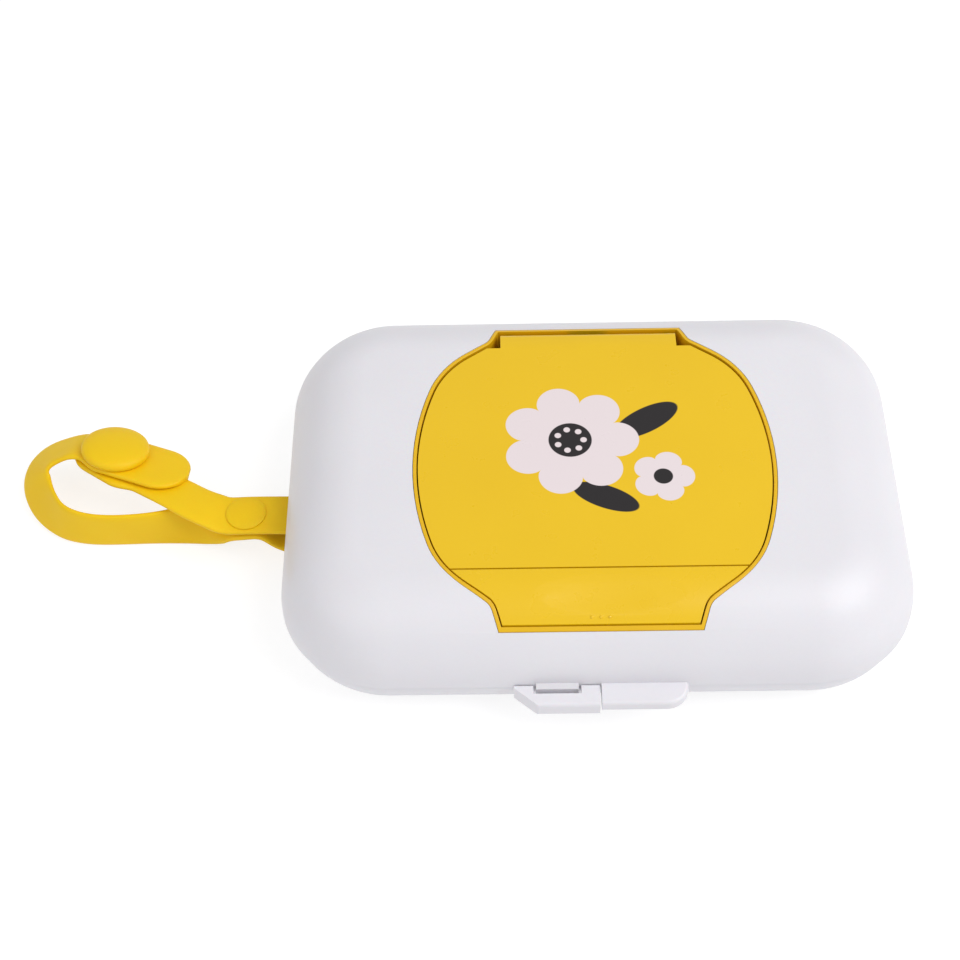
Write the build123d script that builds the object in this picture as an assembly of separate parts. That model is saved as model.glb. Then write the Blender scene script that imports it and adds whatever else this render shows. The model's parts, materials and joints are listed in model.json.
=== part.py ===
"""Travel case for baby wipes.

Two hinged shells, a pop-up lid with its release button in a coloured insert, a soft
dispensing mouth and a wrist strap closed by press studs. Sizes are in millimetres. +X is the case's
right-hand end, +Y its hinge side and +Z up. The origin is the middle of the face that
the case rests on.
"""

import math
import os

from build123d import *

# Case shells
CASE_LENGTH = 190.0
CASE_DEPTH = 134.0
CASE_HEIGHT = 45.0
PARTING_HEIGHT = 19.5
CORNER_RADIUS = 33.0
COVER_EDGE_RADIUS = 24.0
BASE_EDGE_RADIUS = 19.0
EDGE_STRAIGHT = 0.4
BASE_INSET = 1.2
SHELL_WALL = 1.8
SEAM_GAP = 0.15

# Rim seal between the shells
LIP_CLEARANCE = 0.4
LIP_WALL = 1.6
LIP_HEIGHT = 3.0
LIP_ROOT = 3.5
SEAL_HEIGHT = 1.4
SEAL_GAP = 0.1
SHELF_HEIGHT = 1.4

# Rear hinge
HINGE_SPACING = 96.0
HINGE_OFFSET = 3.9
KNUCKLE_RADIUS = 3.1
BASE_EAR_WIDTH = 4.0
COVER_EAR_WIDTH = 7.4
EAR_GAP = 0.3
SHELL_PIN_RADIUS = 1.0
PIN_SEAT_CLEARANCE = 0.01
PIN_RUNNING_CLEARANCE = 0.05

# Front catch: a slotted tab on the base and a thumb tab and tongue on the cover
TAB_REACH = 7.0
BASE_TAB_WIDTH = 25.0
BASE_TAB_THICKNESS = 5.4
BASE_TAB_RISE = 1.0
BASE_TAB_CHAMFER = 7.0
COVER_TAB_WIDTH = 25.4
COVER_TAB_THICKNESS = 4.0
COVER_TAB_RISE = 1.5
COVER_TAB_CORNER = 6.5
TAB_SPLIT = 0.5
CATCH_SLOT_WIDTH = 14.0
CATCH_SLOT_DEPTH = 3.0
CATCH_SLOT_CENTRE = -12.6
TONGUE_THICKNESS = 1.3
TONGUE_SIDE_CLEARANCE = 0.8
TONGUE_REACH = 3.6
TONGUE_ROOT = 1.8
BEAD_RADIUS = 0.5

# Dispenser insert, seen from above: barrel-shaped with a neck at each end
INSERT_CENTRE_Y = -3.8
INSERT_HALF_WIDTH = 54.8
INSERT_END_MARGIN = 10.8
SIDE_ARC_RADIUS = 95.0
SHOULDER_LENGTH = 10.3
NECK_ROOT_HALF_WIDTH = 31.7
NECK_LENGTH = 6.4
NECK_END_HALF_WIDTH = 29.4
SHOULDER_RADIUS = 30.0
NECK_RADIUS = 5.0
INSERT_WALL = 1.1
INSERT_DEPTH = 10.0
INSERT_FLOOR = 1.8
INSERT_FIT = 0.15
CLIP_LENGTH = 14.0
CLIP_REACH = 1.2
CLIP_DEPTH = 1.6
CLIP_SPACING = 34.0

# Pop-up lid
LID_GAP = 0.4
LID_END_GAP = 0.9
LID_SHOULDER_GAP = 0.8
LID_SHOULDER_UNDERCUT = 2.0
LID_EDGE_LIP = 1.0
LID_PLATE = 2.0
LID_SKIRT_WALL = 1.3
LID_SKIRT_DEPTH = 4.2
LID_BARREL_RADIUS = 3.1
LID_PIN_RADIUS = 0.9
LID_EAR_RADIUS = 1.9
LID_EAR_WIDTH = 2.2
LID_EAR_GAP = 0.35
LID_EAR_INSET = 1.5
LID_EAR_SOCKET = 2.25
SPRING_BAY = 12.0
SPRING_WIRE = 0.7
SPRING_COIL_RADIUS = 1.75
SPRING_TURNS = 6
SPRING_LEG = 9.0

# Release button
BUTTON_GAP = 0.5
BUTTON_PLATE = 2.0
BUTTON_REACH = 17.6
BUTTON_PIVOT_REACH = 10.5
BUTTON_PIVOT_DROP = 5.2
BUTTON_PIN_RADIUS = 0.9
BUTTON_LUG_RADIUS = 2.2
BUTTON_LUG_WIDTH = 3.0
BUTTON_LUG_SPACING = 40.0
DISH_RADIUS = 300.0
DISH_DEPTH = 0.5
DISH_REACH = 7.7
DOT_RADIUS = 0.6
DOT_SPACING = 2.6
DOT_REACH = 3.2
RETURN_SPRING_RADIUS = 1.8
RETURN_SPRING_WIRE = 0.5
RETURN_SPRING_TURNS = 4
RETURN_SPRING_REACH = 6.5
SPRING_SEAT_CLEARANCE = 0.2

# Dispensing mouth
MOUTH_LENGTH = 62.0
MOUTH_WIDTH = 34.0
COLLAR_WALL = 1.6
COLLAR_HEIGHT = 4.0
MEMBRANE_THICKNESS = 1.2
MEMBRANE_LEDGE = 2.6
SLOT_LENGTH = 34.0
SLOT_WIDTH = 9.0
PETAL_COUNT = 9
PETAL_WIDTH = 1.2
RETAINER_THICKNESS = 1.2
LID_SEAL_WIDTH = 2.4
LID_SEAL_GAP = 0.12
MOUTH_Y = 2.0

# Strap anchor in the left-hand wall
ANCHOR_WIDTH = 19.0
ANCHOR_DEPTH = 11.2
ANCHOR_TOP = 17.6
ANCHOR_BOTTOM = 2.4
ANCHOR_WALL = 1.4
ANCHOR_BAR_RADIUS = 3.2
ANCHOR_BAR_INSET = 5.5
ANCHOR_BAR_HEIGHT = 10.1

# Strap
STRAP_WIDTH = 14.5
STRAP_THICKNESS = 2.0
PAD_THICKNESS = 2.2
STRAP_BAR_CLEARANCE = 1.0
STRAP_LAYER_GAP = 0.3
KEEPER_REACH = 14.0
KEEPER_SIDE = 0.3
CLOSURE_REACH = 57.9
CLOSURE_SIDE = 23.5
CLOSURE_RISE = 7.6
CLOSURE_NORMAL = (0.14, 0.25, 0.96)
OVER_HEADING = -18.0
UNDER_HEADING = -36.0
UNDER_PAD = (-4.0, 5.0, 10.0)
OVER_PAD = (-1.0, 15.5, 10.0)
CLOSURE_CAP_RADIUS = 10.8
CLOSURE_CAP_HEIGHT = 3.0
KEEPER_CAP_RADIUS = 6.3
KEEPER_CAP_HEIGHT = 1.4
STUD_RADIUS = 2.6
STUD_CLEARANCE = 0.05
CLOSURE_SOCKET_RADIUS = 5.2
KEEPER_SOCKET_RADIUS = 3.9
SOCKET_THICKNESS = 1.5

# Route of the strap between its snaps and the anchor bar. Each row is the distance out from
# the case's end, the place in Y, the height over the bar, the lean of the strap's width and
# the heading of that width in plan, in degrees.
UPPER_LEG = (
    (36.7, 8.8, 6.1, -14, 58),
    (30.3, 4.4, 6.2, -11, 68),
    (24.3, 1.7, 5.9, -7, 78),
)
BAR_EXIT = (
    (0.6, 0.0, -4.7, 0, 90),
    (5.4, 0.0, -1.5, 0, 90),
)
HAND_LOOP = (
    (21.4, 1.7, 0.5, 20, 90),
    (26.0, 3.0, -1.3, 40, 90),
    (32.0, 3.2, -2.5, 66, 90),
    (39.0, 2.3, -2.7, 82, 90),
    (47.0, 1.6, -2.7, 88, 90),
    (57.0, 1.1, -2.6, 90, 90),
    (66.0, 1.6, -2.5, 86, 90),
    (73.6, 4.2, -2.5, 78, 60),
    (77.8, 7.8, -2.4, 69, 50),
    (81.2, 12.0, -2.3, 58, 42),
    (83.6, 16.6, -1.5, 52, 28),
    (84.6, 20.6, -0.1, 47, 5),
    (83.6, 24.0, 1.8, 40, -22),
    (80.6, 26.3, 3.8, 32, -45),
    (76.2, 27.4, 5.5, 25, -65),
)

# Derived places
COVER_EDGE = min(COVER_EDGE_RADIUS, CASE_HEIGHT - PARTING_HEIGHT - EDGE_STRAIGHT)
BASE_EDGE = min(BASE_EDGE_RADIUS, PARTING_HEIGHT - EDGE_STRAIGHT)
HINGE_Y = CASE_DEPTH / 2 + HINGE_OFFSET
TAB_FRONT = -CASE_DEPTH / 2 - TAB_REACH
INSERT_HALF_LENGTH = CASE_DEPTH / 2 - INSERT_END_MARGIN
NECK_ROOT_Y = INSERT_HALF_LENGTH - NECK_LENGTH
SHOULDER_Y = NECK_ROOT_Y - SHOULDER_LENGTH
INSERT_END = INSERT_CENTRE_Y + INSERT_HALF_LENGTH
INSERT_FRONT = INSERT_CENTRE_Y - INSERT_HALF_LENGTH
INSERT_FLOOR_TOP = CASE_HEIGHT - INSERT_DEPTH
LID_FRONT_Y = INSERT_FRONT + BUTTON_REACH
BUTTON_PIVOT_Y = INSERT_FRONT + BUTTON_PIVOT_REACH
DISH_Y = INSERT_FRONT + DISH_REACH
DOT_Y = INSERT_FRONT + DOT_REACH
RETURN_SPRING_Y = INSERT_FRONT + RETURN_SPRING_REACH
LID_BARREL_Y = INSERT_END - INSERT_WALL - LID_END_GAP - LID_BARREL_RADIUS
LID_NECK_HALF = NECK_END_HALF_WIDTH - INSERT_WALL - LID_GAP
LID_EAR_OUTER = LID_NECK_HALF - LID_EAR_INSET
LID_EAR_INNER = LID_EAR_OUTER - LID_EAR_WIDTH
COLLAR_TOP = INSERT_FLOOR_TOP + COLLAR_HEIGHT
BAR_X = -CASE_LENGTH / 2 + ANCHOR_BAR_INSET
BAR_LOOP_RADIUS = ANCHOR_BAR_RADIUS + STRAP_BAR_CLEARANCE + STRAP_THICKNESS / 2
KEEPER_PITCH = STRAP_THICKNESS + STRAP_LAYER_GAP
CLOSURE_PITCH = PAD_THICKNESS + STRAP_LAYER_GAP
KEEPER_X = -CASE_LENGTH / 2 - KEEPER_REACH
KEEPER_TOP_Z = ANCHOR_BAR_HEIGHT + BAR_LOOP_RADIUS
CLOSURE_POINT = (-CASE_LENGTH / 2 - CLOSURE_REACH, CLOSURE_SIDE, ANCHOR_BAR_HEIGHT + CLOSURE_RISE)


def cover_surface(y):
    """Height of the cover's outer surface over the middle of the case, at that y."""
    inside = CASE_DEPTH / 2 - abs(y)
    if inside >= COVER_EDGE:
        return CASE_HEIGHT
    fall = COVER_EDGE - inside
    centre = CASE_HEIGHT - COVER_EDGE
    return centre + math.sqrt(COVER_EDGE**2 - fall**2)


LID_BARREL_Z = cover_surface(LID_BARREL_Y) - LID_BARREL_RADIUS
BUTTON_PIVOT_Z = cover_surface(BUTTON_PIVOT_Y) - BUTTON_PIVOT_DROP


def block(x0, x1, y0, y1, z0, z1):
    """A box between two corners."""
    return Pos((x0 + x1) / 2, (y0 + y1) / 2, (z0 + z1) / 2) * Box(x1 - x0, y1 - y0, z1 - z0)


def rod_x(radius, x0, x1, y, z):
    """A round bar along X."""
    return Pos((x0 + x1) / 2, y, z) * Rot(0, 90, 0) * Cylinder(radius, x1 - x0)


def case_plan(grow, z):
    """The case's rounded outline at a height, grown or shrunk all round."""
    outline = RectangleRounded(CASE_LENGTH + 2 * grow, CASE_DEPTH + 2 * grow, CORNER_RADIUS + grow)
    return Pos(0, 0, z) * outline


def cover_form(grow):
    """The cover's domed form, its surface moved out by grow, standing on the parting plane."""
    height = CASE_HEIGHT + grow - PARTING_HEIGHT
    form = extrude(case_plan(grow, PARTING_HEIGHT), height)
    return fillet(form.edges().group_by(Axis.Z)[-1], COVER_EDGE + grow)


def base_form(grow):
    """The base's tub form, its surface moved out by grow, hanging under the parting plane."""
    form = extrude(case_plan(grow - BASE_INSET, -grow), PARTING_HEIGHT + grow)
    return fillet(form.edges().group_by(Axis.Z)[0], BASE_EDGE + grow)


def rim_ring(outer, width, z, height):
    """A ring that follows the case outline, its outer edge that far inside it."""
    ring = extrude(case_plan(-outer, z), height)
    return ring - extrude(case_plan(-outer - width, z), height)


def insert_outline(grow):
    """The insert's outline: bowed sides, sloping shoulders and a straight neck at each end."""
    bow_x = SIDE_ARC_RADIUS - INSERT_HALF_WIDTH
    shoulder_x = math.sqrt(SIDE_ARC_RADIUS**2 - SHOULDER_Y**2) - bow_x
    right = [
        (NECK_END_HALF_WIDTH, -INSERT_HALF_LENGTH),
        (NECK_ROOT_HALF_WIDTH, -NECK_ROOT_Y),
        (shoulder_x, -SHOULDER_Y),
    ]
    far = [(x, -y) for x, y in reversed(right)]
    left_far = [(-x, y) for x, y in reversed(far)]
    left_near = [(-x, y) for x, y in reversed(right)]
    line = Polyline(*right)
    line += ThreePointArc(right[-1], (INSERT_HALF_WIDTH, 0), far[0])
    line += Polyline(*far, *left_far)
    line += ThreePointArc(left_far[-1], (-INSERT_HALF_WIDTH, 0), left_near[0])
    line += Polyline(*left_near, right[0])
    face = make_face(line)
    shoulders = [v for v in face.vertices() if abs(abs(v.Y) - SHOULDER_Y) < 0.01]
    face = fillet(shoulders, SHOULDER_RADIUS)
    necks = [v for v in face.vertices() if abs(abs(v.Y) - NECK_ROOT_Y) < 0.01]
    face = fillet(necks, NECK_RADIUS)
    if grow:
        face = offset(face, grow)
    return Pos(0, INSERT_CENTRE_Y) * face


def insert_prism(grow, z0, z1):
    """The insert's outline, grown or shrunk, as an upright prism."""
    return extrude(Pos(0, 0, z0) * insert_outline(grow), z1 - z0)


def stadium(length, width, z0, z1, y=0.0):
    """An upright prism with a straight-sided, round-ended outline."""
    return extrude(Pos(0, y, z0) * SlotOverall(length, width), z1 - z0)


def stadium_ring(length, width, wall, z0, z1, y=0.0):
    """A ring with straight sides and round ends, its wall inside the stated size."""
    return stadium(length, width, z0, z1, y) - stadium(length - 2 * wall, width - 2 * wall, z0, z1, y)


def helix_spring(radius, wire, height, turns, plane):
    """An open coil of round wire along a plane's normal."""
    path = Helix(pitch=height / turns, height=height, radius=radius)
    section = Plane(path @ 0, z_dir=path % 0) * Circle(wire / 2)
    return plane * sweep(section, path=path)


# Rear hinge
def knuckle(x0, x1, above):
    """A hinge ear: a round eye and the web that ties it to a shell's back wall."""
    wall_y = CASE_DEPTH / 2 - BASE_INSET - 2 * SHELL_WALL
    side = 1 if above else -1
    root = PARTING_HEIGHT + side * SEAM_GAP
    far = PARTING_HEIGHT + side * 3 * KNUCKLE_RADIUS
    corner = math.sqrt(0.5) * KNUCKLE_RADIUS
    web = [
        (wall_y, root),
        (HINGE_Y, root),
        (HINGE_Y + corner, PARTING_HEIGHT + side * corner),
        (wall_y, far),
    ]
    profile = Plane.YZ * make_face(Polyline(*web, web[0]))
    ear = Pos(x0, 0, 0) * extrude(profile, x1 - x0)
    return ear + rod_x(KNUCKLE_RADIUS, x0, x1, HINGE_Y, PARTING_HEIGHT)


def base_ears(centre):
    """The two outer ears of one hinge, bored to hold the pin."""
    inner = COVER_EAR_WIDTH / 2 + EAR_GAP
    outer = inner + BASE_EAR_WIDTH
    return knuckle(centre - outer, centre - inner, False) + knuckle(centre + inner, centre + outer, False)


def hinge_centres():
    """Where the two hinges sit along the back."""
    return (-HINGE_SPACING / 2, HINGE_SPACING / 2)


def hinge_bore(clearance):
    """The bore through all the ears of both hinges."""
    half = COVER_EAR_WIDTH / 2 + EAR_GAP + BASE_EAR_WIDTH + 1
    bores = [
        rod_x(SHELL_PIN_RADIUS + clearance, c - half, c + half, HINGE_Y, PARTING_HEIGHT)
        for c in hinge_centres()
    ]
    return bores[0] + bores[1]


def hinge_pins():
    """The two steel pins, as left and right."""
    half = COVER_EAR_WIDTH / 2 + EAR_GAP + BASE_EAR_WIDTH
    return [rod_x(SHELL_PIN_RADIUS, c - half, c + half, HINGE_Y, PARTING_HEIGHT) for c in hinge_centres()]


# Strap anchor
def anchor_pocket(grow):
    """The recess in the left wall that the strap loops into."""
    mouth_x = -CASE_LENGTH / 2 - 1 if grow == 0 else -CASE_LENGTH / 2 + BASE_INSET + 1
    half = ANCHOR_WIDTH / 2 + grow
    back_x = -CASE_LENGTH / 2 + BASE_INSET + ANCHOR_DEPTH + grow
    return block(mouth_x, back_x, -half, half, ANCHOR_BOTTOM - grow, ANCHOR_TOP + grow)


def anchor_bar():
    """The round bar across the recess."""
    half = ANCHOR_WIDTH / 2 + ANCHOR_WALL
    return Pos(BAR_X, 0, ANCHOR_BAR_HEIGHT) * Rot(90, 0, 0) * Cylinder(ANCHOR_BAR_RADIUS, 2 * half)


# Front catch
def base_tab():
    """The slotted catch tab on the base, left of the middle."""
    top = PARTING_HEIGHT + BASE_TAB_RISE
    bottom = top - BASE_TAB_THICKNESS
    wall_y = -CASE_DEPTH / 2 + BASE_INSET + SHELL_WALL / 2
    left = -TAB_SPLIT / 2 - BASE_TAB_WIDTH
    right = -TAB_SPLIT / 2
    outline = [
        (left, wall_y),
        (left, TAB_FRONT + BASE_TAB_CHAMFER - 1),
        (left + BASE_TAB_CHAMFER, TAB_FRONT),
        (right, TAB_FRONT),
        (right, wall_y),
    ]
    tab = extrude(Pos(0, 0, bottom) * make_face(Polyline(*outline, outline[0])), BASE_TAB_THICKNESS)
    front_edges = tab.edges().filter_by(lambda e: e.center().Y < TAB_FRONT + 0.1)
    tab = fillet(front_edges.filter_by(Axis.X), 1.0)
    half = CATCH_SLOT_WIDTH / 2
    slot_front = -CASE_DEPTH / 2 - CATCH_SLOT_DEPTH
    tab -= block(
        CATCH_SLOT_CENTRE - half,
        CATCH_SLOT_CENTRE + half,
        slot_front,
        -CASE_DEPTH / 2 + BASE_INSET,
        bottom - 1,
        top + 1,
    )
    # Clear of the cover's wall above the parting plane.
    tab -= block(left - 1, right + 1, -CASE_DEPTH / 2 - 0.3, wall_y + 1, PARTING_HEIGHT - SEAM_GAP, top + 1)
    bead = rod_x(
        BEAD_RADIUS,
        CATCH_SLOT_CENTRE - half + 2,
        CATCH_SLOT_CENTRE + half - 2,
        slot_front,
        PARTING_HEIGHT - 0.2,
    )
    return tab + bead


def cover_tab():
    """The thumb tab on the cover, right of the middle."""
    top = PARTING_HEIGHT + COVER_TAB_RISE
    bottom = top - COVER_TAB_THICKNESS
    inner_y = -CASE_DEPTH / 2 + SHELL_WALL / 2
    left = TAB_SPLIT / 2
    right = left + COVER_TAB_WIDTH
    outline = Polyline((left, inner_y), (left, TAB_FRONT), (right, TAB_FRONT), (right, inner_y), (left, inner_y))
    face = make_face(outline)
    corner = [v for v in face.vertices() if v.X > left + 1 and v.Y < TAB_FRONT + 1]
    face = fillet(corner, COVER_TAB_CORNER)
    tab = extrude(Pos(0, 0, bottom) * face, COVER_TAB_THICKNESS)
    front_edges = tab.edges().filter_by(lambda e: abs(e.center().Y - TAB_FRONT) < 0.1)
    tab = fillet(front_edges.filter_by(Axis.X), 1.0)
    # Clear of the base's wall below the parting plane.
    base_wall = -CASE_DEPTH / 2 + BASE_INSET - LIP_CLEARANCE
    return tab - block(left - 1, right + 1, base_wall, inner_y + 1, bottom - 1, PARTING_HEIGHT)


def cover_tongue():
    """The spring tongue that reaches down into the base tab's slot, with its catch bead."""
    half = CATCH_SLOT_WIDTH / 2 - TONGUE_SIDE_CLEARANCE
    inner_y = -CASE_DEPTH / 2
    outer_y = inner_y - TONGUE_THICKNESS
    foot = PARTING_HEIGHT - TONGUE_REACH
    tongue = block(
        CATCH_SLOT_CENTRE - half,
        CATCH_SLOT_CENTRE + half,
        outer_y,
        inner_y,
        foot,
        PARTING_HEIGHT + TONGUE_ROOT,
    )
    root = block(
        CATCH_SLOT_CENTRE - half,
        CATCH_SLOT_CENTRE + half,
        inner_y,
        inner_y + SHELL_WALL / 2,
        PARTING_HEIGHT,
        PARTING_HEIGHT + TONGUE_ROOT,
    )
    top_edge = tongue.edges().filter_by(Axis.X).sort_by(lambda e: e.center().Z - e.center().Y)[-1]
    tongue = chamfer(top_edge, TONGUE_THICKNESS * 0.9)
    bead = rod_x(
        BEAD_RADIUS,
        CATCH_SLOT_CENTRE - half + 1.5,
        CATCH_SLOT_CENTRE + half - 1.5,
        outer_y,
        foot + 1.4,
    )
    return tongue + root + bead


# Shells
def make_bottom_shell():
    """The tub: wall, sealing lip, hinge ears, catch tab and strap anchor."""
    shell = base_form(0)
    for centre in hinge_centres():
        shell += base_ears(centre)
    cavity = base_form(-SHELL_WALL)
    cavity += extrude(case_plan(-BASE_INSET - SHELL_WALL, PARTING_HEIGHT - 1), 2)
    shell -= cavity
    lip_outer = SHELL_WALL + LIP_CLEARANCE
    shell += rim_ring(lip_outer, LIP_WALL, PARTING_HEIGHT - LIP_ROOT, LIP_ROOT + LIP_HEIGHT)
    shell += rim_ring(BASE_INSET + SHELL_WALL / 2, SHELL_WALL, PARTING_HEIGHT - LIP_ROOT, LIP_ROOT)
    shell += anchor_pocket(ANCHOR_WALL) & base_form(-SHELL_WALL / 2)
    shell -= anchor_pocket(0)
    shell += anchor_bar()
    shell -= hinge_bore(PIN_SEAT_CLEARANCE)
    return shell + base_tab()


def make_shell_gasket():
    """The soft ring that sits on the base's lip."""
    ring = rim_ring(
        SHELL_WALL + LIP_CLEARANCE, LIP_WALL, PARTING_HEIGHT + LIP_HEIGHT, SEAL_HEIGHT
    )
    return fillet(ring.edges().group_by(Axis.Z)[-1], 0.45)


def make_top_shell():
    """The domed cover with the insert's cut-out, sealing shelf, hinge ears and catch parts."""
    shell = cover_form(0)
    half = COVER_EAR_WIDTH / 2
    for centre in hinge_centres():
        shell += knuckle(centre - half, centre + half, True)
    shell -= cover_form(-SHELL_WALL)
    shelf_z = PARTING_HEIGHT + LIP_HEIGHT + SEAL_HEIGHT + SEAL_GAP
    shelf_width = SHELL_WALL / 2 + LIP_CLEARANCE + LIP_WALL
    shell += rim_ring(SHELL_WALL / 2, shelf_width, shelf_z, SHELF_HEIGHT)
    cut_floor = INSERT_FLOOR_TOP - INSERT_FLOOR - INSERT_FIT
    shell -= insert_prism(INSERT_FIT, cut_floor, CASE_HEIGHT + 1)
    shell -= hinge_bore(PIN_RUNNING_CLEARANCE)
    return shell + cover_tab() + cover_tongue()


# Dispenser insert
def insert_clips():
    """The four snap lugs that hold the insert under the cover's skin."""
    top = CASE_HEIGHT - SHELL_WALL - 0.1
    reach = INSERT_HALF_WIDTH + CLIP_REACH
    clips = None
    for side in (-1, 1):
        for y in (-CLIP_SPACING / 2, CLIP_SPACING / 2):
            x0 = side * (INSERT_HALF_WIDTH - CLIP_REACH * 2)
            x1 = side * reach
            place = INSERT_CENTRE_Y + y
            clip = block(
                min(x0, x1),
                max(x0, x1),
                place - CLIP_LENGTH / 2,
                place + CLIP_LENGTH / 2,
                top - CLIP_DEPTH,
                top,
            )
            clips = clip if clips is None else clips + clip
    return clips - insert_prism(-INSERT_WALL / 2, top - CLIP_DEPTH - 1, top + 1)


def lid_ears():
    """The two ears under the lid's rear corners that carry its pin, each on a stem from the floor."""
    ears = None
    for side in (-1, 1):
        x0, x1 = sorted((side * LID_EAR_INNER, side * LID_EAR_OUTER))
        stem = block(
            x0,
            x1,
            LID_BARREL_Y - LID_EAR_RADIUS,
            LID_BARREL_Y,
            INSERT_FLOOR_TOP - 0.5,
            LID_BARREL_Z,
        )
        ear = stem + rod_x(LID_EAR_RADIUS, x0, x1, LID_BARREL_Y, LID_BARREL_Z)
        ears = ear if ears is None else ears + ear
    return ears


def button_supports():
    """The two floor lugs that carry the button's pin."""
    lugs = None
    for side in (-1, 1):
        centre = side * (BUTTON_LUG_SPACING / 2 - BUTTON_LUG_WIDTH - 2 * EAR_GAP)
        half = BUTTON_LUG_WIDTH / 2
        lug = block(
            centre - half,
            centre + half,
            BUTTON_PIVOT_Y - BUTTON_LUG_RADIUS,
            BUTTON_PIVOT_Y + BUTTON_LUG_RADIUS,
            INSERT_FLOOR_TOP - 0.5,
            BUTTON_PIVOT_Z,
        )
        lug += rod_x(BUTTON_LUG_RADIUS, centre - half, centre + half, BUTTON_PIVOT_Y, BUTTON_PIVOT_Z)
        lugs = lug if lugs is None else lugs + lug
    return lugs


def make_dispenser_frame():
    """The coloured insert: a tray whose rim follows the cover, with the mouth's collar in its floor."""
    bottom = INSERT_FLOOR_TOP - INSERT_FLOOR
    tray = insert_prism(0, bottom, CASE_HEIGHT + 2) & cover_form(0)
    tray -= insert_prism(-INSERT_WALL, INSERT_FLOOR_TOP, CASE_HEIGHT + 2)
    tray += insert_clips()
    tray += lid_ears()
    tray += button_supports()
    collar_length = MOUTH_LENGTH + 2 * COLLAR_WALL
    collar_width = MOUTH_WIDTH + 2 * COLLAR_WALL
    tray += stadium(collar_length, collar_width, INSERT_FLOOR_TOP - 0.5, COLLAR_TOP, MOUTH_Y)
    tray -= stadium(MOUTH_LENGTH, MOUTH_WIDTH, INSERT_FLOOR_TOP, CASE_HEIGHT, MOUTH_Y)
    ledge_length = MOUTH_LENGTH - 2 * MEMBRANE_LEDGE
    ledge_width = MOUTH_WIDTH - 2 * MEMBRANE_LEDGE
    tray -= stadium(ledge_length, ledge_width, bottom - 1, CASE_HEIGHT, MOUTH_Y)
    half = LID_NECK_HALF
    tray -= rod_x(LID_PIN_RADIUS + PIN_SEAT_CLEARANCE, -half, half, LID_BARREL_Y, LID_BARREL_Z)
    half = BUTTON_LUG_SPACING / 2
    tray -= rod_x(BUTTON_PIN_RADIUS + PIN_SEAT_CLEARANCE, -half, half, BUTTON_PIVOT_Y, BUTTON_PIVOT_Z)
    return tray


def make_nozzle_membrane():
    """The soft sheet in the mouth, with a long slot and cut petals that grip the next wipe."""
    floor = INSERT_FLOOR_TOP
    sheet = stadium(MOUTH_LENGTH - 0.2, MOUTH_WIDTH - 0.2, floor, floor + MEMBRANE_THICKNESS, MOUTH_Y)
    slot = stadium(SLOT_LENGTH, SLOT_WIDTH, floor - 1, floor + MEMBRANE_THICKNESS + 1, MOUTH_Y)
    sheet -= slot
    pitch = SLOT_LENGTH / PETAL_COUNT
    for index in range(PETAL_COUNT):
        x = (index - (PETAL_COUNT - 1) / 2) * pitch
        cut = stadium(SLOT_WIDTH + 8, PETAL_WIDTH, floor - 1, floor + MEMBRANE_THICKNESS + 1)
        sheet -= Pos(x, MOUTH_Y, 0) * Rot(0, 0, 90) * cut
    return sheet


def make_nozzle_retainer():
    """The ring that clamps the soft sheet on its ledge."""
    low = INSERT_FLOOR_TOP + MEMBRANE_THICKNESS
    ring = stadium_ring(
        MOUTH_LENGTH - 0.2, MOUTH_WIDTH - 0.2, MEMBRANE_LEDGE, low, low + RETAINER_THICKNESS, MOUTH_Y
    )
    return ring


# Pop-up lid
def lid_prism(inset, retreat, z0, z1):
    """The lid's outline as a prism. Its rear shoulders draw back so that they clear the rim as it opens."""
    outline = insert_prism(-INSERT_WALL - LID_GAP - inset, z0, z1)
    return outline & Pos(0, -retreat, 0) * outline


def lid_body():
    """The plate that follows the cover, with its skirt and front lip, ending over the hinge line."""
    low = CASE_HEIGHT - LID_SKIRT_DEPTH
    top = CASE_HEIGHT + 2
    edge = CASE_HEIGHT - LID_EDGE_LIP
    body = lid_prism(0, LID_SHOULDER_GAP, edge, top) + lid_prism(0, LID_SHOULDER_UNDERCUT, low, edge)
    inner = lid_prism(LID_SKIRT_WALL, LID_SHOULDER_UNDERCUT, low - 1, top) & cover_form(-LID_PLATE)
    front_lip = block(-CASE_LENGTH, CASE_LENGTH, LID_FRONT_Y, LID_FRONT_Y + LID_SKIRT_WALL, low, top)
    body = (body & cover_form(0)) - (inner - front_lip)
    body -= block(-CASE_LENGTH, CASE_LENGTH, -CASE_DEPTH, LID_FRONT_Y, 0, top)
    body -= block(-CASE_LENGTH, CASE_LENGTH, LID_BARREL_Y, CASE_DEPTH, 0, top)
    room = LID_BARREL_RADIUS + 1.2
    for side in (-1, 1):
        x0, x1 = sorted((side * LID_NECK_HALF, side * NECK_ROOT_HALF_WIDTH * 2))
        body -= block(x0, x1, LID_BARREL_Y - room, CASE_DEPTH, 0, top)
    return body


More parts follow.
